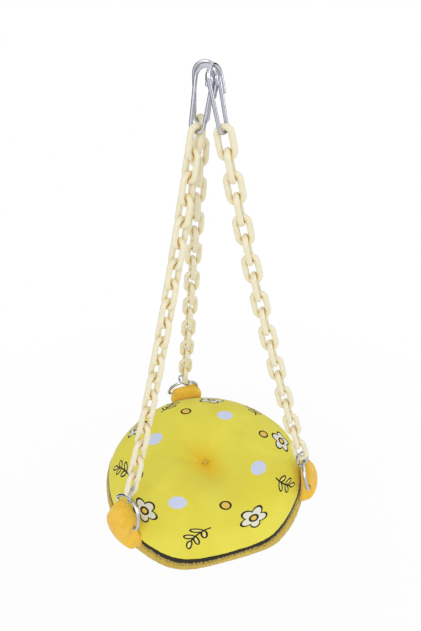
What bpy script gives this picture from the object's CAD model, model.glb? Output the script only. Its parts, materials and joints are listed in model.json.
# %% [markdown]
# # A bird swing with a plush cushion
#
# The swing hangs from one point. Three wire clips hold three plastic chains, the chains end in
# split rings and D-rings, and the D-rings sit in padded tabs that are sewn into the seam of a round
# cushion. The hard parts come finished from the CAD model, so here they only get their materials.
# The soft parts are modelled again, because cloth that is stuffed and sewn has folds, pile and a
# slack outline that a CAD solid doesn't have.

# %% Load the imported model
import json
import math
import random

import bmesh
import bpy
from mathutils import Matrix, Vector, noise


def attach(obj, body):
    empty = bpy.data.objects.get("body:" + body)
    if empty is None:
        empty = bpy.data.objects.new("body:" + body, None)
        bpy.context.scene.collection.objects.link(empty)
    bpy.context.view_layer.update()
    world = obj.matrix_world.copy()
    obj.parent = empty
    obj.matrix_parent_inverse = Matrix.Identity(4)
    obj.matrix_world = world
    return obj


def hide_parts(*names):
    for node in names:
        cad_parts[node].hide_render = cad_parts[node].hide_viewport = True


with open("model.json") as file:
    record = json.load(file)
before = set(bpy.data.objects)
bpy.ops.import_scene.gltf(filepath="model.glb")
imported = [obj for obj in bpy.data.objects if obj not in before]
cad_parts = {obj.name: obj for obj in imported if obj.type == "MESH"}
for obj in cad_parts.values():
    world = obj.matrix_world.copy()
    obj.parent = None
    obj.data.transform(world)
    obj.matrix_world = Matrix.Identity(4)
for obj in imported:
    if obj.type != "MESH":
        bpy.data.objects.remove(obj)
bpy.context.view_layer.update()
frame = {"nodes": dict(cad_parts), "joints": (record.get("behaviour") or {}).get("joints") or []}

MM = 0.001  # one millimetre, in Blender's metres

# %% [markdown]
# ## The camera
#
# A camera that was fitted to thirty chain links stands where the photographer stood: a little to
# the left, and high enough to look down on the cushion. It is made first, so that each later piece
# can be judged from that place. Its turn is written as two directions, to the right and forward,
# because these can be read without knowing Euler angles.

# %% Camera
CAMERA_PLACE = Vector((-91.1, -337.4, 51.1)) * MM
CAMERA_RIGHT = Vector((0.9639, -0.2663, 0.0056))
CAMERA_FORWARD = Vector((0.2273, 0.8113, -0.5386))
CAMERA_LENS, CAMERA_SENSOR = 31.33, 36.0  # both in mm, as photographers count them
NEAREST_SEEN, FURTHEST_SEEN = 0.01, 20.0  # in metres

camera_data = bpy.data.cameras.new("photo_camera")
camera_data.lens, camera_data.sensor_width = CAMERA_LENS, CAMERA_SENSOR
camera_data.clip_start, camera_data.clip_end = NEAREST_SEEN, FURTHEST_SEEN
camera = bpy.data.objects.new("photo_camera", camera_data)
bpy.context.scene.collection.objects.link(camera)
camera_up = CAMERA_RIGHT.cross(CAMERA_FORWARD)
camera.matrix_world = (
    Matrix.Translation(CAMERA_PLACE)
    @ Matrix((CAMERA_RIGHT, camera_up, -CAMERA_FORWARD)).transposed().to_4x4()
)
bpy.context.scene.camera = camera
bpy.context.scene.view_settings.view_transform = "Standard"
print("camera at", tuple(round(v, 3) for v in camera.location), "lens", camera_data.lens)

# %% [markdown]
# ## Shader sums written as Python
#
# A procedural finish is a small calculation for each point of a surface. Dozens of Math nodes made
# one by one are hard to read, so one class wraps a node's output, and Python's own + - * / then add
# the nodes. Every other kind of node comes from one method, which takes the kind, its settings and
# what goes into its sockets.

# %% A class that turns sums into nodes
class Wire:
    """The output of one node. Sums on it add Math nodes to the same tree."""

    def __init__(self, tree, socket=None):
        self.tree, self.socket = tree, socket

    def node(self, kind, settings=None, values=None, out=0):
        """Adds a node, its settings first and then its sockets, and returns one of its outputs."""
        made = self.tree.nodes.new("ShaderNode" + kind)
        for name, setting in (settings or {}).items():
            setattr(made, name, setting)
        for name, value in (values or {}).items():
            if isinstance(value, Wire):
                self.tree.links.new(value.socket, made.inputs[name])
            else:
                made.inputs[name].default_value = value
        return Wire(self.tree, made.outputs[out])

    def outlet(self, name):
        """Another output of the same node."""
        return Wire(self.tree, self.socket.node.outputs[name])

    def maths(self, operation, *values, clamped=False):
        settings = {"operation": operation, "use_clamp": clamped}
        return self.node("Math", settings, dict(enumerate(values)))

    def __add__(self, other):
        return self.maths("ADD", self, other)

    def __radd__(self, other):
        return self.maths("ADD", other, self)

    def __sub__(self, other):
        return self.maths("SUBTRACT", self, other)

    def __rsub__(self, other):
        return self.maths("SUBTRACT", other, self)

    def __mul__(self, other):
        return self.maths("MULTIPLY", self, other)

    def __rmul__(self, other):
        return self.maths("MULTIPLY", other, self)

    def __truediv__(self, other):
        return self.maths("DIVIDE", self, other)

    def __rtruediv__(self, other):
        return self.maths("DIVIDE", other, self)

    def __abs__(self):
        return self.maths("ABSOLUTE", self)

    def clamped(self):
        return self.maths("ADD", self, 0.0, clamped=True)

    def least(self, other):
        return self.maths("MINIMUM", self, other)

    def most(self, other):
        return self.maths("MAXIMUM", self, other)


# %% Colours
MIX_SHARE, MIX_FIRST, MIX_SECOND, MIX_RESULT = 0, 6, 7, 2  # the Mix node's sockets for colours


def mix_colours(share, first, second):
    """Blends two colours: share 0 gives the first, 1 the second."""
    settings = {"data_type": "RGBA", "clamp_factor": True}
    values = {MIX_SHARE: share, MIX_FIRST: first, MIX_SECOND: second}
    return share.node("Mix", settings, values, out=MIX_RESULT)


def paint(red, green, blue):
    """A screen colour from 0 to 255, as the linear numbers that a shader takes."""
    shares = (v / 255 for v in (red, green, blue))
    linear = (s / 12.92 if s <= 0.04045 else ((s + 0.055) / 1.055) ** 2.4 for s in shares)
    return tuple(linear) + (1.0,)


print("mid grey 128 is", round(paint(128, 128, 128)[0], 3), "in linear light")

# %% [markdown]
# ## Starting a material
#
# Each finish starts from the Principled shader. What is the same all over a surface, such as sheen
# or the softness of a coat, is set on the shader's own socket. Only what changes from point to
# point is worked out by nodes.

# %% Starting a material
def start_material(name, **fixed):
    """A new material, its shader, and the Wire that its nodes grow from.

    fixed gives values for the shader's own sockets, with _ for a space."""
    material = bpy.data.materials.new(name)
    material.use_nodes = True
    shader = material.node_tree.nodes["Principled BSDF"]
    for socket, value in fixed.items():
        shader.inputs[socket.replace("_", " ")].default_value = value
    return material, shader, Wire(material.node_tree)


def connect(wire, node, socket):
    wire.tree.links.new(wire.socket, node.inputs[socket])


def noise_on(place, scale, detail=2.0, roughness=0.5, distortion=0.0):
    """Smooth random values from 0 to 1, with about scale blobs in each metre."""
    values = {
        "Vector": place,
        "Scale": scale,
        "Detail": detail,
        "Roughness": roughness,
        "Distortion": distortion,
    }
    return place.node("TexNoise", {}, values)


def bump(height, depth, strength=1.0, under=None):
    """Turns a height from 0 to 1 into a bumpy normal, with its depth in metres.

    under is a coarser normal to build on."""
    values = {"Strength": strength, "Distance": depth, "Height": height}
    if under is not None:
        values["Normal"] = under
    return height.node("Bump", {}, values)


# %% [markdown]
# ## Chain plastic
#
# The links are moulded from cream plastic that lets a little light through. Where links cross, the
# light passes through more plastic and turns warmer, so the colour follows how closed in a spot is.
# The moulding leaves faint waves, and handling leaves dull scuffs, which are in the roughness.

# %% Chain plastic
CREAM, WARM_CREAM = paint(240, 234, 208), paint(240, 208, 126)
CLOSED_IN = 2.4 * MM  # plastic within this distance warms the colour


def make_chain_plastic():
    material, shader, grow = start_material(
        "cream_chain_plastic",
        Subsurface_Weight=0.25,
        Subsurface_Radius=(0.004, 0.0028, 0.0014),
        Subsurface_Scale=1.0,
        IOR=1.47,
    )
    place = grow.node("TexCoord", out="Object")
    open_share = grow.node("AmbientOcclusion", {"samples": 8}, {"Distance": CLOSED_IN}, out="AO")
    cloud = noise_on(place, 140.0, detail=3.0)
    warmth = (1.05 - open_share) + (cloud - 0.5) * 0.3
    connect(mix_colours(warmth, CREAM, WARM_CREAM), shader, "Base Color")
    scuffs = noise_on(place, 520.0, detail=5.0, roughness=0.65)
    connect((scuffs - 0.5) * 0.5 + 0.36, shader, "Roughness")
    waves = noise_on(place, 260.0)
    connect(bump(waves * 0.7 + scuffs * 0.3, 0.12 * MM, 0.5), shader, "Normal")
    return material


chain_plastic = make_chain_plastic()
print("made", chain_plastic.name, "with", len(chain_plastic.node_tree.nodes), "nodes")

# %% [markdown]
# ## Bright steel
#
# Clips, D-rings and split rings are nickel-plated wire. Metal has no colour of its own besides its
# reflections, so its life comes from small changes of roughness, from the fine scratches of
# handling and from faint stains.

# %% Bright steel
CLEAN_STEEL, STAINED_STEEL = paint(198, 200, 210), paint(170, 167, 170)


def make_bright_steel():
    material, shader, grow = start_material("bright_steel_wire", Metallic=1.0)
    place = grow.node("TexCoord", out="Object")
    stains = noise_on(place, 380.0, detail=4.0, roughness=0.6)
    stained = ((stains - 0.5) * 2.0).clamped()
    connect(mix_colours(stained, CLEAN_STEEL, STAINED_STEEL), shader, "Base Color")
    scratches = noise_on(place, 2600.0, detail=3.0, roughness=0.7)
    connect(0.15 + stains * 0.10 + (scratches - 0.5) * 0.05, shader, "Roughness")
    connect(bump(scratches, 0.01 * MM, 0.08), shader, "Normal")
    return material


bright_steel = make_bright_steel()
print("made", bright_steel.name)

# %% [markdown]
# ## Thread
#
# The tuft thread is two-ply cotton. Its twist is a wave that runs slanting round it.

# %% Thread
THREAD_DEEP, THREAD_LIGHT = paint(214, 172, 34), paint(240, 200, 60)


def make_thread():
    material, shader, grow = start_material("cotton_thread", Sheen_Weight=0.3, Sheen_Roughness=0.5)
    place = grow.node("TexCoord", out="Object")
    settings = {"wave_type": "BANDS", "bands_direction": "DIAGONAL"}
    values = {"Vector": place, "Scale": 420.0, "Distortion": 1.5, "Detail": 2.0}
    ply = grow.node("TexWave", settings, values, out="Fac")
    connect(mix_colours(ply, THREAD_DEEP, THREAD_LIGHT), shader, "Base Color")
    connect(0.75 + ply * 0.2, shader, "Roughness")
    connect(bump(ply, 0.25 * MM, 0.8), shader, "Normal")
    return material


cotton_thread = make_thread()
print("made", cotton_thread.name)

# %% [markdown]
# ## Plush
#
# Plush is a forest of short hairs. From a hand's breadth away the hairs show as a fine grain, the
# way the pile leans shows as soft lighter and darker patches, and the edges glow a little, which is
# sheen. One function makes the underside's mustard plush, the orange plush of the tabs and the
# loose fibre inside, with other colours and sizes.

# %% Plush
def make_plush(name, light, deep, grain_size, grain_depth, nap_depth):
    """Sizes and depths are in mm."""
    material, shader, grow = start_material(
        name, Sheen_Weight=0.35, Sheen_Roughness=0.45, Specular_IOR_Level=0.2
    )
    place = grow.node("TexCoord", out="Object")
    hairs = noise_on(place, 1.0 / (grain_size * MM), detail=4.0, roughness=0.7, distortion=0.6)
    nap = noise_on(place, 85.0, detail=3.0, roughness=0.55, distortion=1.2)
    shade = (hairs - 0.5) * 0.9 + (nap - 0.5) * 1.1 + 0.35
    connect(mix_colours(shade.clamped(), light, deep), shader, "Base Color")
    connect(0.82 + (hairs - 0.5) * 0.3, shader, "Roughness")
    coarse = bump(nap, nap_depth * MM, 0.5)
    connect(bump(hairs, grain_depth * MM, 0.9, under=coarse), shader, "Normal")
    return material


mustard_plush = make_plush(
    "mustard_plush", paint(226, 198, 90), paint(182, 152, 54), 1.1, 0.7, 0.9
)
orange_plush = make_plush(
    "orange_tab_plush", paint(252, 210, 82), paint(232, 174, 44), 0.7, 0.25, 0.3
)
filling_fibre = make_plush(
    "filling_fibre", paint(242, 240, 232), paint(205, 202, 192), 2.0, 1.2, 0.9
)
print("made", mustard_plush.name, orange_plush.name, filling_fibre.name)

# %% [markdown]
# ## The printed panel
#
# The top panel is a smooth yellow plush with a print: daisies with thick dark outlines, leaf
# sprigs, orange buds and pale violet dots, all round the tuft, and a dark border along the seam. A
# print is drawn on flat cloth before the cushion is sewn, so the shader works in the flat panel's
# own coordinates, which the mesh will carry as a UV map. Folding the polar angle into equal slices
# repeats a motif round the tuft, and white noise by slice number moves and turns each one, so that
# the ring doesn't look stamped.

# %% Places on the flat panel
PANEL_CUT_R = 101.0 * MM  # the radius that the top panel was cut to before sewing
MOTIF_SPIN = 1.6  # how far apart, in radians, two copies of a motif may be turned


class FlatPlace:
    """Where a point lies on the flat panel: x, y and radius in metres, and angle in radians."""

    def __init__(self, grow):
        cut = grow.node("UVMap", {"uv_map": "flat_cut"})
        self.x = grow.node("SeparateXYZ", {}, {0: cut}, out="X")
        self.y = self.x.outlet("Y")
        self.radius = grow.maths("SQRT", self.x * self.x + self.y * self.y)
        self.angle = grow.maths("ARCTAN2", self.y, self.x)


class Slice:
    """Coordinates in one slice of the panel, centred on its motif: across and along its radius."""

    def __init__(self, flat, count, ring_r, start_turn, wander, seed):
        step = 2 * math.pi / count
        angle = flat.angle - start_turn
        number = angle.maths("FLOOR", angle / step)
        wrapped = number.maths("FLOORED_MODULO", number, float(count))
        off_middle = angle - (number + 0.5) * step
        settings, values = {"noise_dimensions": "1D"}, {"W": wrapped + seed}
        throw = wrapped.node("TexWhiteNoise", settings, values, out="Color")
        chance_x = throw.node("SeparateXYZ", {}, {0: throw}, out="X")
        chance_y, chance_z = chance_x.outlet("Y"), chance_x.outlet("Z")
        across = flat.radius * angle.maths("SINE", off_middle) - (chance_x - 0.5) * wander
        along = flat.radius * angle.maths("COSINE", off_middle) - ring_r - (chance_y - 0.5) * wander
        spin = (chance_z - 0.5) * MOTIF_SPIN
        cosine, sine = spin.maths("COSINE", spin), spin.maths("SINE", spin)
        self.across = across * cosine - along * sine
        self.along = across * sine + along * cosine


print("the top panel was cut", round(2 * PANEL_CUT_R / MM), "mm across")

# %% [markdown]
# ### Motifs
#
# Each motif is a distance: below zero inside its outline, above zero outside. A daisy's outline is
# a circle whose radius waves five times round. A leaf is an oval, folded to both sides of a stem.

# %% Ink
PRINT_LINE = 1.7 * MM  # the width of a printed line
INK_EDGE = 0.25 * MM  # ink on pile fades out over this width


def inside(distance, soft=INK_EDGE):
    """1 where a distance to an outline is below zero, 0 outside it, with a narrow soft edge."""
    return (0.5 - distance / soft).clamped()


def on_line(distance, width=PRINT_LINE):
    """1 on the outline itself."""
    return inside(abs(distance) - width / 2)


def oval(x, y, wide, high):
    """The distance to an oval with these half widths, nearly true near its outline."""
    near = x.maths("SQRT", x * x / wide**2 + y * y / high**2)
    steep = x.maths("SQRT", x * x / wide**4 + y * y / high**4)
    return near * (near - 1.0) / steep.most(1.0)


def turned(x, y, degrees):
    """The same place, seen from axes that are turned by degrees."""
    cosine, sine = math.cos(math.radians(degrees)), math.sin(math.radians(degrees))
    return x * cosine + y * sine, y * cosine - x * sine


print("printed lines are", round(PRINT_LINE / MM, 1), "mm wide")

# %% Daisies and sprigs
PETAL_NOTCH, PETAL_REACH, HEART = 0.62, 0.42, 0.30  # radii, as shares of a daisy's size
LEAF_TURN = 52  # degrees between the stem and a leaf
LEAF_FEET = (-0.50, 0.12)  # where the pairs of leaves leave the stem, as shares of its length
LEAF_WIDE, LEAF_HIGH, END_LEAF_WIDE = 0.13, 0.30, 0.15  # half widths, as shares too


def daisy(part, size):
    """The petals' fill, the centre's fill and the dark line of a five-petalled daisy."""
    reach = part.across.maths("SQRT", part.across * part.across + part.along * part.along)
    turn = part.across.maths("ARCTAN2", part.along, part.across)
    wave = abs(part.across.maths("COSINE", turn * 2.5))
    petals = reach - (wave * PETAL_REACH + PETAL_NOTCH) * size
    heart = reach - HEART * size
    return inside(petals), inside(heart), on_line(petals).most(on_line(heart))


def sprig(part, length):
    """The leaves' fill and the dark line of a bent stem with two pairs of leaves and one more."""
    bent = part.across - part.along * part.along * (0.25 / length)
    side = abs(bent)
    stem = side.most(abs(part.along + 0.15 * length) - 0.7 * length)
    leaves = oval(
        bent, part.along - 0.84 * length, END_LEAF_WIDE * length, LEAF_HIGH * length
    )
    for foot in LEAF_FEET:
        out, up = side - 0.25 * length, part.along - (foot + 0.19) * length
        x, y = turned(out, up, -LEAF_TURN)
        leaves = leaves.least(oval(x, y, LEAF_WIDE * length, LEAF_HIGH * length))
    return inside(leaves), on_line(leaves, PRINT_LINE * 0.8).most(inside(stem - PRINT_LINE * 0.4))


print("a daisy's centre is", round(100 * HEART), "% of its size")

# %% [markdown]
# ### The panel's ground
#
# Under the print the plush is yellow, in soft patches that follow the lean of the pile. The tuft
# pulls the pile down along a crease, and there the cloth shows a deeper orange.

# %% The panel's ground
YELLOW, DEEP_YELLOW = paint(238, 229, 86), paint(229, 214, 62)
TUFT_ORANGE = paint(238, 196, 36)
CREASE_TO = 104  # the direction of the crease through the tuft, in degrees
TINT_ALONG, TINT_ACROSS = 24 * MM, 12 * MM  # how far the orange reaches from the tuft


def yellow_ground(nap, flat):
    colour = mix_colours(((nap - 0.35) * 1.6).clamped(), YELLOW, DEEP_YELLOW)
    crease_x, crease_y = turned(flat.x, flat.y, CREASE_TO)
    along, across = crease_x / TINT_ALONG, crease_y / TINT_ACROSS
    pulled = (1.0 - along.maths("SQRT", along * along + across * across)).clamped()
    return mix_colours(pulled * pulled * 1.1, colour, TUFT_ORANGE)


print("the orange reaches", round(TINT_ALONG / MM), "mm along the crease")

# %% [markdown]
# ### The print
#
# The print is painted in layers over the ground, each one a share of ink and its colour. The dark
# lines and the border come last, as on a printing table, where the darkest ink covers the rest.

# %% The print
DARK_INK, LEAF_CREAM, BUD_ORANGE = paint(24, 20, 12), paint(240, 232, 130), paint(240, 200, 92)
VIOLET, PETAL_WHITE = paint(212, 222, 252), paint(234, 234, 214)
HEART_ORANGE = paint(242, 204, 92)
DAISY_SIZE, SPRIG_LENGTH = 10.0 * MM, 13.0 * MM
BORDER_WIDTH, BORDER_RAGGED = 6.0 * MM, 2.0 * MM


def print_motifs(flat, ground):
    """Paints the motifs over the ground. Returns the colour, and where the dark lines run."""
    daisies = Slice(flat, 5, 61 * MM, 0.55, 9 * MM, seed=3.0)
    sprigs = Slice(flat, 5, 64 * MM, 1.18, 8 * MM, seed=11.0)
    dots = Slice(flat, 4, 36 * MM, 0.10, 8 * MM, seed=7.0)
    buds = Slice(flat, 4, 43 * MM, 0.10 + math.pi / 4, 8 * MM, seed=21.0)
    petals, heart, daisy_lines = daisy(daisies, DAISY_SIZE)
    leaves, sprig_lines = sprig(sprigs, SPRIG_LENGTH)
    dot_edge = oval(dots.across, dots.along, 5.0 * MM, 6.0 * MM)
    bud_edge = oval(buds.across, buds.along, 3.0 * MM, 3.8 * MM)
    colour = ground
    for share, ink in (
        (inside(dot_edge, 0.7 * MM), VIOLET),
        (leaves, LEAF_CREAM),
        (inside(bud_edge), BUD_ORANGE),
        (petals, PETAL_WHITE),
        (heart, HEART_ORANGE),
    ):
        colour = mix_colours(share, colour, ink)
    return colour, daisy_lines.most(sprig_lines).most(on_line(bud_edge, PRINT_LINE * 0.75))


def border_along_seam(place, flat):
    ragged = noise_on(place, 420.0, detail=2.0)
    return inside((PANEL_CUT_R - flat.radius) - (ragged * BORDER_RAGGED + BORDER_WIDTH))


print("the border is about", round((BORDER_WIDTH + BORDER_RAGGED / 2) / MM), "mm wide")

# %% Printed plush
def make_printed_plush():
    material, shader, grow = start_material(
        "printed_plush", Sheen_Weight=0.22, Sheen_Roughness=0.4, Specular_IOR_Level=0.25
    )
    place, flat = grow.node("TexCoord", out="Object"), FlatPlace(grow)
    nap = noise_on(place, 26.0, detail=3.0, roughness=0.5, distortion=0.8)
    grain = noise_on(place, 1500.0, detail=3.0, roughness=0.6)
    colour, dark_lines = print_motifs(flat, yellow_ground(nap, flat))
    colour = mix_colours(dark_lines.most(border_along_seam(place, flat)), colour, DARK_INK)
    between_hairs = ((grain - 0.5) * 0.3 + 0.03).clamped()
    connect(mix_colours(between_hairs, colour, paint(150, 130, 30)), shader, "Base Color")
    connect(0.62 + (grain - 0.5) * 0.3, shader, "Roughness")
    coarse = bump(nap, 1.2 * MM, 0.25)
    connect(bump(grain, 0.12 * MM, 0.6, under=coarse), shader, "Normal")
    return material


printed_plush = make_printed_plush()
print("made", printed_plush.name, "with", len(printed_plush.node_tree.nodes), "nodes")

# %% [markdown]
# ## The cushion's shape
#
# A round cushion is two flat discs of cloth sewn together at the edge and stuffed. Each panel here
# starts as that flat disc, a line spun round its middle, and is then moved into the stuffed shape:
# crowned, pulled down at the tuft, with folds that run out from the tuft as they do where thread
# drags cloth together. The disc's flat place is kept in a UV map first, because that is where the
# print lives.

# %% Measures of the cushion
SEAM_R, SEAM_Z = 87.0, -337.978  # this and the next three lines are in mm
CROWN_H, BELLY_H, SIDE_SWELL = 25.0, 25.0, 6.0
TOP_TUFT, BOTTOM_TUFT = 18.5, 11.0  # how deep the tuft pulls each panel
PANEL_T = 2.0
TUFT_REACH = 0.36  # as a share of the seam's radius
ROUNDNESS = 0.8  # 1 makes the profile an ellipse, and less makes it fuller
CUSHION_LEAN, LEAN_TO = 5.0, 215.0  # how far it leans and the direction where it is low, in degrees

lean_axis = Vector((-math.sin(math.radians(LEAN_TO)), math.cos(math.radians(LEAN_TO)), 0.0))
cushion_lean = Matrix.Rotation(math.radians(CUSHION_LEAN), 4, lean_axis)
cushion_place = Matrix.Translation((0, 0, SEAM_Z * MM)) @ cushion_lean
print("the seam's middle is", round(-SEAM_Z), "mm below the hanging point")

# %% [markdown]
# ### Folds, and a seam that strays
#
# Nothing sewn by hand is even all round. Each fold, slack stretch or stray of the seam has its own
# direction and fades beside it along a bell curve, so a short table of bells describes the lot.

# %% Folds from the tuft
TOP_FOLDS = (  # direction and half width in degrees, depth in mm, reach as a share of the radius
    (104, 20, 3.3, 0.62),
    (-72, 20, 2.9, 0.72),
    (22, 18, 1.2, 0.95),
    (165, 20, 0.9, 0.80),
    (212, 15, 1.3, 1.00),
)


def bell(angle, direction, half_width):
    """1 at a direction, falling smoothly to 0 beside it.

    The angle is in radians, the other two are in degrees."""
    off = (math.degrees(angle) - direction + 180) % 360 - 180
    return math.exp(-((off / half_width) ** 2))


def fold_depth(share, angle):
    """How far the folds pull the top cloth down, in mm."""
    total = 0.0
    for direction, half_width, depth, reach in TOP_FOLDS:
        out = max(0.0, 1.0 - share / reach)
        total += depth * bell(angle, direction, half_width) * min(1.0, share * 6) * out * (2 - out)
    return total


print("deepest fold:", max(fold[2] for fold in TOP_FOLDS), "mm")

# %% The seam's strays
SEAM_STRAYS = (  # direction and half width in degrees, how far outwards and down in mm
    (240, 16, 3.4, 2.8),
    (270, 14, -0.8, 0.0),
    (292, 15, 2.4, 2.8),
    (155, 14, 0.8, 0.0),
    (38, 32, -4.2, 0.0),
)
OFF_CENTRE, OFF_CENTRE_TO = 2.2, 215  # the whole outline lies this far off, in mm and degrees
SEAM_RIPPLES, RIPPLE_H = 7, 0.3  # small even waves, in mm
PUCKER_AT, PUCKER_HALF_WIDTH, PUCKER_H = 0.93, 0.05, 0.55  # shares of the radius, and mm


def seam_stray(angle):
    """How far the hand-sewn outline strays from a true circle, outwards and down, in mm."""
    outwards = OFF_CENTRE * math.cos(angle - math.radians(OFF_CENTRE_TO))
    outwards += RIPPLE_H * math.sin(SEAM_RIPPLES * angle + 1.0)
    down = 0.0
    for direction, half_width, far_out, far_down in SEAM_STRAYS:
        outwards += far_out * bell(angle, direction, half_width)
        down += far_down * bell(angle, direction, half_width)
    return outwards, down


def pucker(share, angle):
    """Small puckers that the seam thread draws into the edge, in mm."""
    near_seam = math.exp(-(((share - PUCKER_AT) / PUCKER_HALF_WIDTH) ** 2))
    along = Vector((math.cos(angle) * 9, math.sin(angle) * 9, 2.0))
    return PUCKER_H * near_seam * noise.noise(along)


quarters = [math.radians(degrees) for degrees in (0, 90, 180, 270)]
print("the seam strays by", [round(seam_stray(angle)[0], 1) for angle in quarters], "mm")

# %% [markdown]
# ### The two stuffed forms
#
# Both forms take a place on the flat disc, as a share of its radius and an angle, and give the
# stuffed place in mm. They share the round profile and the dimple, so the panels meet at the seam.

# %% Profile and dimple
TUFT_GATHERS = 9  # small folds round the tuft
TOP_GATHER, BOTTOM_GATHER = 0.03, 0.12  # how much they change the dimple's depth


def profile(share):
    """How far out and how far up the round profile is at a share of the cloth, from 0 to 1."""
    up = math.radians(90 * share)
    return math.sin(up) ** ROUNDNESS, max(0.0, math.cos(up)) ** ROUNDNESS


def dimple(share, angle, out, reach, gather):
    """How much of the tuft's pull is felt, from 0 to 1."""
    pull = math.exp(-((out / reach) ** 2)) * (1 - share**2)
    return pull * (1 + gather * math.cos(TUFT_GATHERS * angle) * min(1.0, 6 * share))


print("halfway along the cloth:", [round(v, 2) for v in profile(0.5)])

# %% The top panel's form
CREASE_OVAL = 0.16  # how much further the dimple reaches along the crease
SLACK_TO, SLACK_HALF_WIDTH, SLACK_H = 52, 38, 3.4  # where the top is slack: degrees and mm
WAVE_SIZE, WAVE_H = 30.0, 1.1  # soft waves all over, in mm


def top_form(share, angle):
    """The place on the top panel, in the cushion's own frame, in mm."""
    out, up = profile(share)
    reach = TUFT_REACH * (1 + CREASE_OVAL * math.cos(2 * (angle - math.radians(CREASE_TO))))
    stray_out, stray_down = seam_stray(angle)
    radius = SEAM_R * out + stray_out * share**3
    x, y = radius * math.cos(angle), radius * math.sin(angle)
    height = CROWN_H * up - TOP_TUFT * dimple(share, angle, out, reach, TOP_GATHER)
    height += pucker(share, angle) - fold_depth(share, angle) - stray_down * share**3
    slack = bell(angle, SLACK_TO, SLACK_HALF_WIDTH) * math.sin(math.pi * share**1.6)
    height -= SLACK_H * slack
    soft = Vector((x / WAVE_SIZE, y / WAVE_SIZE, 4.0))
    height += WAVE_H * noise.noise(soft) * math.sin(math.pi * share)
    return Vector((x, y, height))


print("top at the tuft:", round(top_form(0.001, 0)[2], 1), "mm above the seam")

# %% The bottom panel's form
SLIM_SIDE = (  # direction and half width in degrees, share of the belly that is missing
    (265, 22, 0.27),
    (283, 8, 0.06),
)


def belly_form(share, angle):
    """The same for the bottom panel, which turns up outside the seam as the cushion's side."""
    out, up = profile(share)
    full = 1 - sum(missing * bell(angle, to, half_width) for to, half_width, missing in SLIM_SIDE)
    stray_out, stray_down = seam_stray(angle)
    swell = SIDE_SWELL * full**2 * math.sin(math.pi * share**2.4)
    radius = SEAM_R * out + swell + stray_out * share
    height = -BELLY_H * (1 - (1 - full) * share) * up
    height += BOTTOM_TUFT * dimple(share, angle, out, TUFT_REACH, BOTTOM_GATHER)
    height -= stray_down * share**3
    return Vector((radius * math.cos(angle), radius * math.sin(angle), height))


print("underside at the tuft:", round(belly_form(0.001, 0)[2], 1), "mm")

# %% [markdown]
# ## Spinning the panels
#
# bmesh.ops.spin sweeps one row of vertices round the middle and merges the last copy with the
# first. The pole's many copies are merged after it. Then every vertex moves from its flat place to
# its stuffed place.

# %% Spin a flat disc
def new_piece(name, bm, material, smooth=True):
    """Makes a bmesh a finished object at the origin, with one material."""
    mesh = bpy.data.meshes.new(name)
    bm.to_mesh(mesh)
    bm.free()
    for face in mesh.polygons:
        face.use_smooth = smooth
    mesh.materials.append(material)
    piece = bpy.data.objects.new(name, mesh)
    bpy.context.scene.collection.objects.link(piece)
    return piece


def spin_disc(rings, around):
    """A flat disc of radius 1 in the XY plane: a row of vertices, spun round Z."""
    bm = bmesh.new()
    row = [bm.verts.new((i / rings, 0.0, 0.0)) for i in range(rings + 1)]
    edges = [bm.edges.new(pair) for pair in zip(row, row[1:])]
    bmesh.ops.spin(
        bm,
        geom=row + edges,
        cent=(0, 0, 0),
        axis=(0, 0, 1),
        angle=2 * math.pi,
        steps=around,
        use_merge=True,
    )
    bmesh.ops.remove_doubles(bm, verts=bm.verts, dist=1e-6)
    bmesh.ops.recalc_face_normals(bm, faces=bm.faces)
    return bm


def sewn_panel(name, form, material, faces_up, rings=56, around=216):
    """Spins the flat cut, keeps it as a UV map and moves it into the stuffed form."""
    bm = spin_disc(rings, around)
    flat = bm.loops.layers.uv.new("flat_cut")
    for face in bm.faces:
        for loop in face.loops:
            loop[flat].uv = loop.vert.co.xy * PANEL_CUT_R
    for vert in bm.verts:
        share = min(1.0, vert.co.xy.length)
        angle = math.atan2(vert.co.y, vert.co.x)
        vert.co = cushion_place @ (form(share, angle) * MM)
    up = sum((face.normal * face.calc_area() for face in bm.faces), Vector()).z > 0
    if up != faces_up:
        bmesh.ops.reverse_faces(bm, faces=bm.faces)
    bm.normal_update()
    return new_piece(name, bm, material)


cushion_top = sewn_panel("cushion_top", top_form, printed_plush, True)
print(cushion_top.name, "has", len(cushion_top.data.polygons), "faces")

# %% [markdown]
# ## Cloth with pile and thickness
#
# The underside's pile is long enough to lie in clumps, and these show against the light, so they
# are raised in the mesh. A Solidify modifier then gives both panels the thickness of real cloth.

# %% Cloth with pile and thickness
CLUMP, CLUMP_H = 2.6 * MM, 0.55 * MM  # the size of a clump of pile, and how far it stands out


def raise_pile(piece, clump, tall):
    """Raises each vertex along its normal, most in the middle of its clump, and some by chance."""
    normals = [vert.normal.copy() for vert in piece.data.vertices]
    for vert, normal in zip(piece.data.vertices, normals):
        cell = noise.cell_vector(vert.co / clump)
        lump = noise.voronoi(vert.co / clump)[0][0]
        vert.co += normal * tall * (0.75 * (0.6 - lump) + 0.25 * cell.x)


def add_thickness(piece, thickness):
    """Gives a sheet of cloth its thickness, inwards."""
    wall = piece.modifiers.new("thickness", "SOLIDIFY")
    wall.thickness, wall.offset = thickness, -1.0


cushion_underside = sewn_panel(
    "cushion_underside", belly_form, mustard_plush, False, rings=76, around=300
)
raise_pile(cushion_underside, CLUMP, CLUMP_H)
for piece, node, slot in (
    (cushion_top, "top_cover", "printed_plush"),
    (cushion_underside, "bottom_cover", "mustard_plush"),
):
    add_thickness(piece, PANEL_T * MM)
    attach(piece, "cushion")
    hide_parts(node)
print(cushion_underside.name, "has", len(cushion_underside.data.polygons), "faces")

# %% [markdown]
# ## The filling
#
# The filling can't be seen, but it is a piece of the real cushion. It is the same two forms, drawn
# in by the cloth's thickness and joined at the seam into one closed ball of fibre.

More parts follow.
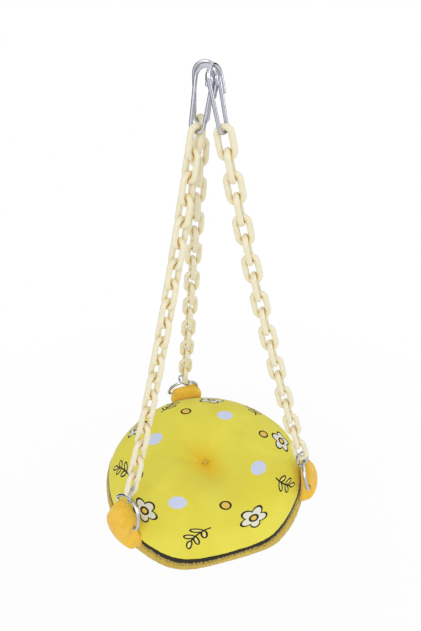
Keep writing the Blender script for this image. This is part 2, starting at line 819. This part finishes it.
# %% Filling
FILLING_INWARDS = 3.4  # how far the fibre stays behind the cloth's outside, in mm


def drawn_in(form):
    """A form drawn in from the cloth, so that the filling stays clear of it."""

    def smaller_form(share, angle):
        place = form(share, angle)
        flat = Vector((place.x, place.y, 0.0))
        flat *= max(0.0, 1 - FILLING_INWARDS / SEAM_R)
        lower = math.copysign(FILLING_INWARDS, place.z) * (1 - share**6)
        return Vector((flat.x, flat.y, place.z * 0.9 - lower))

    return smaller_form


def make_filling():
    bm = bmesh.new()
    for form, faces_up in ((top_form, True), (belly_form, False)):
        half = sewn_panel(
            "half_filling", drawn_in(form), filling_fibre, faces_up, rings=20, around=72
        )
        bm.from_mesh(half.data)
        bpy.data.objects.remove(half)
    bmesh.ops.remove_doubles(bm, verts=bm.verts, dist=0.9 * MM)
    bmesh.ops.recalc_face_normals(bm, faces=bm.faces)
    return new_piece("cushion_filling", bm, filling_fibre)


cushion_filling = make_filling()
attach(cushion_filling, "cushion")
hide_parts("stuffing")
print("filling has", len(cushion_filling.data.polygons), "faces")

# %% [markdown]
# ## The tabs
#
# Each tab is a strap of plush folded over the straight bar of its D-ring and stuffed a little, with
# both ends sewn into the seam. The CAD solid already wraps the bar, so a merged copy of it is the
# start. A voxel remesh gives it even faces. Moves in code then fill its fold, let its outer layer
# hang and press a groove between the layers, and a short cloth simulation with air inside puffs it
# up like stuffed cloth.

# %% Copy and remesh
def merged_copy(node, name):
    """A welded copy of a CAD node's mesh."""
    bm = bmesh.new()
    bm.from_mesh(frame["nodes"][node].data)
    bmesh.ops.remove_doubles(bm, verts=bm.verts, dist=0.01 * MM)
    return new_piece(name, bm, orange_plush)


def apply_modifiers(piece):
    """Bakes a piece's modifiers into its mesh."""
    graph = bpy.context.evaluated_depsgraph_get()
    final = bpy.data.meshes.new_from_object(piece.evaluated_get(graph))
    piece.modifiers.clear()
    old, piece.data = piece.data, final
    bpy.data.meshes.remove(old)


def remesh(piece, voxel):
    grid = piece.modifiers.new("even_faces", "REMESH")
    grid.mode, grid.voxel_size, grid.use_smooth_shade = "VOXEL", voxel, True
    apply_modifiers(piece)


def even_out(piece, passes):
    """Relaxes the mesh, so that neighbouring faces lie in one smooth surface."""
    calm = piece.modifiers.new("calm", "SMOOTH")
    calm.factor, calm.iterations = 0.5, passes
    apply_modifiers(piece)


print("a tab's CAD mesh has", len(frame["nodes"]["left_tab"].data.polygons), "triangles")

# %% Puff up with a cloth simulation
SIM_FRAMES, SIM_QUALITY = 20, 6


def puff(piece, pressure, most):
    """Blows a closed cloth up with pressure, and lets no point move further than most."""
    start = [vert.co.copy() for vert in piece.data.vertices]
    cloth = piece.modifiers.new("cloth", "CLOTH")
    cloth.settings.use_pressure = True
    cloth.settings.uniform_pressure_force = pressure
    cloth.settings.effector_weights.gravity = 0.0
    cloth.settings.quality = SIM_QUALITY
    cloth.point_cache.frame_start, cloth.point_cache.frame_end = 1, SIM_FRAMES
    for step in range(1, SIM_FRAMES + 1):
        bpy.context.scene.frame_set(step)
    apply_modifiers(piece)
    bpy.context.scene.frame_set(1)
    furthest = 0.0
    for vert, before in zip(piece.data.vertices, start):
        moved = vert.co - before
        furthest = max(furthest, moved.length)
        if moved.length > most:
            vert.co = before + moved * (most / moved.length)
    print(piece.name, "moved by up to", round(furthest / MM, 2), "mm")


print("the simulation takes", SIM_FRAMES, "frames for each tab")

# %% [markdown]
# ### Fill the fold and let the cloth hang
#
# A stuffed fold is wider and thicker over the bar than the plain strap, and the outer layer slumps.
# Each vertex is judged by its place beside the bar: along it, round it, and through the two layers.

# %% Where a tab's bar and layers lie
def hinge_of(body):
    """The place and direction of the D-ring's straight bar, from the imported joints."""
    joint = next(j for j in frame["joints"] if j["child"] == body)
    return Vector(joint["pos_m"]), Vector(joint["axis"]).normalized()


def tab_directions(tab, bar, along):
    """Directions away from the swing's middle, down to the tab's foot and through its layers."""
    outwards = Vector((bar.x, bar.y, 0.0)).normalized()
    places = sorted((vert.co for vert in tab.data.vertices), key=lambda place: place.z)
    lowest = places[: len(places) // 12]
    foot = sum(lowest, Vector()) / len(lowest)
    down = (foot - bar).normalized()
    through = along.cross(down).normalized()
    through *= math.copysign(1, through.dot(outwards))
    return outwards, down, through


def ramp(value, start, length):
    """Rises evenly from 0 at start to 1 at start plus length."""
    return min(1.0, max(0.0, (value - start) / length))


print("the left bar is at", [round(v / MM) for v in hinge_of("left_d_ring")[0]], "mm")

# %% Plump a tab
TAB_WIDEN = 0.18  # how much wider the stuffing makes the fold, as a share
TAB_SWELL = {"rear": 0.5, "left": 1.9, "right": 1.7}  # how far it lifts the fold, in mm
TAB_SLUMP = {  # how far the outer layer hangs outwards and down and lies along its bar, in mm
    "rear": (0.0, 0.6, -2.8),
    "left": (2.2, 2.2, 0.0),
    "right": (-0.6, 0.4, 0.0),
}
FOLD_REACH = 9.0 * MM  # the fold's filling fades out at about this distance from the bar
INNER_CLOTH, CLOTH_RISE = 2.2 * MM, 1.5 * MM  # the cloth on the bar stays, and outside it may move
TAB_HALF_WIDTH = 13.5 * MM
GROOVE, GROOVE_HALF_WIDTH = 2.2 * MM, 1.1 * MM


def plump(tab, side):
    """Fills the fold over the bar, hangs the outer layer and presses a groove between layers."""
    bar, along = hinge_of(side + "_d_ring")
    outwards, down, through = tab_directions(tab, bar, along)
    out_far, down_far, along_far = (far * MM for far in TAB_SLUMP[side])
    for vert in tab.data.vertices:
        off = vert.co - bar
        sideways, layer = off.dot(along), off.dot(through)
        round_bar = off - along * sideways
        reach = round_bar.length
        near = math.exp(-((reach / FOLD_REACH) ** 2))
        outer = ramp(reach, INNER_CLOTH, CLOTH_RISE)
        middle = max(0.0, 1 - (sideways / TAB_HALF_WIDTH) ** 2)
        swell = TAB_SWELL[side] * MM * near * outer * middle
        below = ramp(off.dot(down), 1.5 * MM, 3 * MM)
        groove = GROOVE * below * math.exp(-((layer / GROOVE_HALF_WIDTH) ** 2))
        sideways *= 1 + TAB_WIDEN * near
        sideways -= math.copysign(groove, sideways) * min(1.0, abs(sideways) / FOLD_REACH)
        hang = outer * ramp(layer, 0.0, 3 * MM)
        vert.co = bar + along * (sideways + along_far * outer)
        vert.co += round_bar * (1 + swell / max(reach, 0.1 * MM))
        vert.co += (outwards * out_far - Vector((0, 0, down_far))) * hang


print("swell of the folds in mm:", TAB_SWELL)

# %% Padded tabs
def make_tab(side):
    tab = merged_copy(side + "_tab", side + "_tab_pad")
    remesh(tab, 1.0 * MM)
    plump(tab, side)
    even_out(tab, 8)
    puff(tab, pressure=4.0, most=1.2 * MM)
    even_out(tab, 12)
    for face in tab.data.polygons:
        face.use_smooth = True
    fine = tab.modifiers.new("fine", "SUBSURF")
    fine.levels = fine.render_levels = 1
    return tab


for side in ("rear", "left", "right"):
    tab = make_tab(side)
    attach(tab, "cushion")
    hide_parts(side + "_tab")
    print(tab.name, "has", len(tab.data.polygons), "faces")

# %% [markdown]
# ## Pile along the seam
#
# The underside's long pile sticks up over the dark border of the print and makes its lower edge
# ragged. Bump can't change an outline, so this pile is real: many thin cones, each a few faces, set
# along the seam and leaning outwards.

# %% Pile along the seam
PILE_ROWS = (  # cones, share of the panel's radius, outward lean, then length and radius in mm
    (280, 1.0, 0.1, 2.2, 0.95),
    (420, 0.985, 1.2, 1.8, 0.75),
)
dice = random.Random(5)


def add_pile_row(bm, count, share, lean_out, length, thick):
    """Adds a row of small cones at one share of the bottom panel's radius."""
    for i in range(count):
        angle = 2 * math.pi * (i + dice.uniform(-0.4, 0.4)) / count
        foot = belly_form(share + dice.uniform(-0.008, 0.008), angle) * MM
        out = Vector((math.cos(angle), math.sin(angle), 0.0))
        round_way = Vector((-out.y, out.x, 0.0)) * dice.uniform(-0.5, 0.5)
        way = (out * lean_out + Vector((0, 0, 1)) + round_way).normalized()
        tall = length * dice.uniform(0.35, 1.4)
        turn = way.to_track_quat("Z", "Y").to_matrix().to_4x4()
        bmesh.ops.create_cone(
            bm,
            cap_ends=True,
            segments=5,
            radius1=thick,
            radius2=thick * 0.15,
            depth=tall,
            matrix=cushion_place @ Matrix.Translation(foot + way * tall * 0.3) @ turn,
        )


def make_pile():
    bm = bmesh.new()
    for count, share, lean_out, length, thick in PILE_ROWS:
        add_pile_row(bm, count, share, lean_out, length * MM, thick * MM)
    return new_piece("rim_pile", bm, mustard_plush)


rim_pile = make_pile()
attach(rim_pile, "cushion")
print("pile has", len(rim_pile.data.polygons), "faces")

# %% [markdown]
# ## Materials for the CAD pieces
#
# Chains, rings, clips and thread keep their CAD shape. Only the material in each object's slot
# changes.

# %% Materials for the CAD pieces
def dress(node, material):
    for slot in frame["nodes"][node].material_slots:
        slot.material = material


for node in frame["nodes"]:
    if "_chain_" in node:
        dress(node, chain_plastic)
    elif node.endswith(("_clip", "_ring")):
        dress(node, bright_steel)
    elif node == "tuft_thread":
        dress(node, cotton_thread)
print("dressed", sum("_chain_" in node for node in frame["nodes"]), "chain pieces")

# %% [markdown]
# ## Floor and sky
#
# The swing hangs over a pale floor. To the camera the background is plain white, which is a
# strength of 1 and adds no light to the object, and metal and plastic show the same white. The
# floor keeps a little of its real surface near the middle, so a faint shadow stays.

# %% Floor
FLOOR_Z = -620.0 * MM  # lower than the chains reach when they fold right over
FLOOR_HALF_WIDTH = 3.0  # this and the next line are in metres
SHADOW_R, SHADOW_FADE = 0.45, 0.5  # where the shadow is whole, and over what width it fades
PAPER_SHARE = 0.16  # how much of the real surface shows there


def seen_directly(grow):
    """1 on what the camera sees, also in a reflection or through a surface, and 0 for light."""
    straight = grow.node("LightPath", out="Is Camera Ray")
    mirrored = straight.most(straight.outlet("Is Glossy Ray"))
    return mirrored.most(straight.outlet("Is Transmission Ray"))


def make_floor():
    material, shader, grow = start_material("pale_floor")
    grow.tree.nodes.remove(shader)
    spot = grow.node("TexCoord", out="Object")
    spread = grow.node("VectorMath", {"operation": "LENGTH"}, {0: spot}, out="Value")
    paper_share = (1.0 - (spread - SHADOW_R) / SHADOW_FADE).clamped() * PAPER_SHARE
    paper = grow.node("BsdfDiffuse", {}, {"Color": paint(250, 250, 250)}, out="BSDF")
    glow = {"Color": (1, 1, 1, 1), "Strength": 1.0}
    white = grow.node("Emission", {}, glow, out="Emission")
    shares = {0: seen_directly(grow) * (1.0 - paper_share), 1: paper, 2: white}
    both = grow.node("MixShader", {}, shares, out="Shader")
    connect(both, grow.tree.nodes["Material Output"], "Surface")
    bm = bmesh.new()
    place = Matrix.Translation((0, 0, FLOOR_Z))
    bmesh.ops.create_grid(
        bm, x_segments=4, y_segments=4, size=FLOOR_HALF_WIDTH, matrix=place
    )
    floor = new_piece("floor", bm, material, smooth=False)


make_floor()
print("floor at", round(FLOOR_Z / MM), "mm")

# %% Sky
SKY_LIGHT = 0.68

world = bpy.data.worlds.new("studio")
world.use_nodes = True
bpy.context.scene.world = world
backdrop = world.node_tree.nodes["Background"]
backdrop.inputs["Color"].default_value = (1, 1, 1, 1)
direct = seen_directly(Wire(world.node_tree))
connect(direct * (1 - SKY_LIGHT) + SKY_LIGHT, backdrop, "Strength")
print("sky at", SKY_LIGHT)

# %% [markdown]
# ## Lamps and dark cards
#
# One large lamp in front and one from the side light the swing softly. Bright wire in an even white
# room looks flat, so three dark cards, which only reflections see, give the steel its dark streaks.

# %% Lamps and dark cards
MIDDLE = (0.0, 0.0, -0.18)  # what every lamp and card faces
LAMPS = (  # name, place and width in metres, power in watts
    ("key_lamp", (-0.75, -1.15, 0.75), 0.8, 7.5),
    ("side_lamp", (1.2, -0.5, 0.35), 0.7, 3.0),
)
CARDS = (  # name, place, width and height in metres
    ("left_card", (-0.85, 0.55, -0.05), 1.0, 1.5),
    ("right_card", (0.85, 0.6, -0.05), 1.0, 1.5),
    ("front_card", (0.35, -1.1, -0.25), 0.25, 1.2),
)


def facing_middle(place, front):
    """The matrix of something at a place whose front axis points at the swing's middle."""
    way = (Vector(MIDDLE) - Vector(place)).to_track_quat(front, "Y").to_matrix().to_4x4()
    return Matrix.Translation(place) @ way


def add_lamp(name, place, width, power):
    lamp = bpy.data.lights.new(name, "AREA")
    lamp.shape, lamp.size, lamp.energy = "SQUARE", width, power
    holder = bpy.data.objects.new(name, lamp)
    bpy.context.scene.collection.objects.link(holder)
    holder.matrix_world = facing_middle(place, "-Z")


def add_card(name, place, wide, high, material):
    bm = bmesh.new()
    turned_and_cut = facing_middle(place, "Z") @ Matrix.Diagonal((wide, high, 1.0, 1.0))
    bmesh.ops.create_grid(bm, x_segments=1, y_segments=1, size=0.5, matrix=turned_and_cut)
    card = new_piece(name, bm, material, smooth=False)
    card.visible_camera = card.visible_diffuse = False
    card.visible_shadow = card.visible_transmission = False


card_black = start_material("card_black", Roughness=1.0, Base_Color=paint(30, 30, 32))[0]
for lamp_facts in LAMPS:
    add_lamp(*lamp_facts)
for card_facts in CARDS:
    add_card(*card_facts, card_black)
